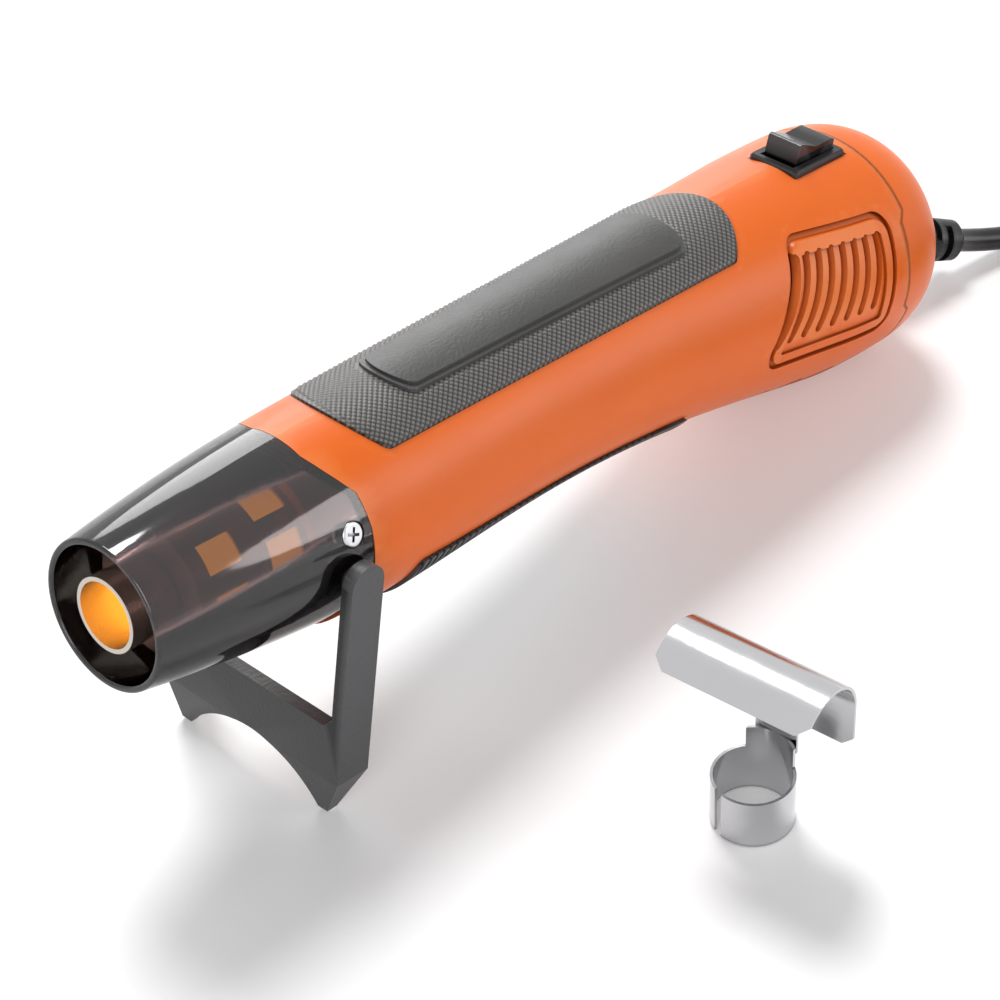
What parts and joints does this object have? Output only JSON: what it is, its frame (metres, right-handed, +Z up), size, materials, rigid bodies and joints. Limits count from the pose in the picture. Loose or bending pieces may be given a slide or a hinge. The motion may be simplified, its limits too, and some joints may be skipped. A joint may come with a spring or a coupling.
{
  "type": "embossing heat tool",
  "caption": "Hand-held hot-air embossing tool with an orange body, smoked front cover, folding stand, rocker switch and cord, and a separate bent-steel reflector nozzle.",
  "frame": {"origin": "on the floor, under the middle of the tool and the reflector nozzle without the cord", "axes": "+Z up, nozzle towards -X, cord towards +X, reflector nozzle on the -Y side"},
  "size_m": [0.3372, 0.1718, 0.0757],
  "materials": {
    "orange_shell": "satin",
    "smoked_cover": "polished",
    "steel_screw": "satin",
    "nozzle_steel": "satin",
    "mica": "matt",
    "heating_wire": "matt",
    "ceramic": "matt",
    "black_plastic": "satin",
    "motor_steel": "satin",
    "board": "satin",
    "capacitor": "gloss",
    "knurled_rubber": "matt",
    "smooth_pad": "satin",
    "ribbed_rubber": "matt",
    "rocker_plastic": "gloss",
    "brass": "satin",
    "relief_rubber": "matt",
    "cord_rubber": "satin",
    "stand_plastic": "satin",
    "reflector_steel": "satin"
  },
  "bodies": {
    "tool": {"left_shell": "orange_shell", "right_shell": "orange_shell", "rear_cap": "orange_shell", "front_cover": "smoked_cover", "cover_screws": "steel_screw", "nozzle_tube": "nozzle_steel", "heater_shroud": "nozzle_steel", "mica_sleeve": "mica", "mica_cross": "mica", "heater_coil": "heating_wire", "heater_base": "ceramic", "thermal_cutout": "steel_screw", "motor_bracket": "black_plastic", "motor_can": "motor_steel", "motor_end_cap": "black_plastic", "supply_board": "board", "rectifier_diodes": "black_plastic", "suppression_capacitor": "capacitor", "shell_screws": "steel_screw", "top_grip": "knurled_rubber", "grip_panel": "smooth_pad", "bottom_grip": "ribbed_rubber", "switch_housing": "black_plastic", "switch_terminals": "brass", "strain_relief": "relief_rubber", "cord_clamp": "black_plastic", "clamp_screws": "steel_screw", "cord_tail": "cord_rubber", "cord": "cord_rubber", "cord_coil": "cord_rubber", "plug_body": "relief_rubber", "plug_blades": "brass"},
    "fan": {"fan_impeller": "black_plastic", "motor_shaft": "motor_steel"},
    "stand": {"stand": "stand_plastic"},
    "rocker": {"rocker": "rocker_plastic"},
    "reflector": {"reflector": "reflector_steel"}
  },
  "joints": [
    {"name": "fan_spin", "type": "hinge", "parent": "tool", "child": "fan", "pos_m": [-0.06486, 0.0375, 0.05093], "axis": [0.988, 0, -0.1544], "continuous": true},
    {"name": "stand_fold", "type": "hinge", "parent": "tool", "child": "stand", "pos_m": [-0.08437, 0.0375, 0.05236], "axis": [0, -1, 0], "range_deg": [0, 46]},
    {"name": "switch_rock", "type": "hinge", "parent": "tool", "child": "rocker", "pos_m": [0.07628, 0.0375, 0.05377], "axis": [0, -1, 0], "range_deg": [0, 20]},
    {"name": "reflector_lift", "type": "slide", "parent": "tool", "child": "reflector", "axis": [0, 0, 1], "range_m": [0, 0.05]}
  ]
}
